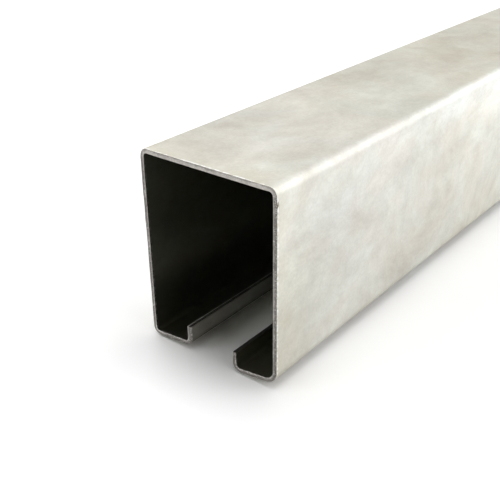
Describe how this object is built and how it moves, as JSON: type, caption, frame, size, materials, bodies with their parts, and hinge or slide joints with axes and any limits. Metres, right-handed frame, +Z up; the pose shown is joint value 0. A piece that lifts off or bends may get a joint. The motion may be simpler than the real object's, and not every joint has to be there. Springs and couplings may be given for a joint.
{
  "type": "box rail",
  "caption": "Galvanised steel box rail: a rolled hollow track with a slot along its underside between turned-up lips, in which the trolley of a sliding door runs.",
  "frame": {"origin": "mid-length, midway across the slot, on the level floor that the bottom flanges lie on", "axes": "+X across the rail, +Y along the rail, +Z up from the slotted underside to the closed top"},
  "size_m": [0.0476, 1.829, 0.0611],
  "materials": {
    "galvanised_steel": "satin zinc coating, faintly mottled, bare grey steel at the sawn ends"
  },
  "bodies": {
    "root": {"box_rail": "galvanised_steel"}
  },
  "joints": []
}
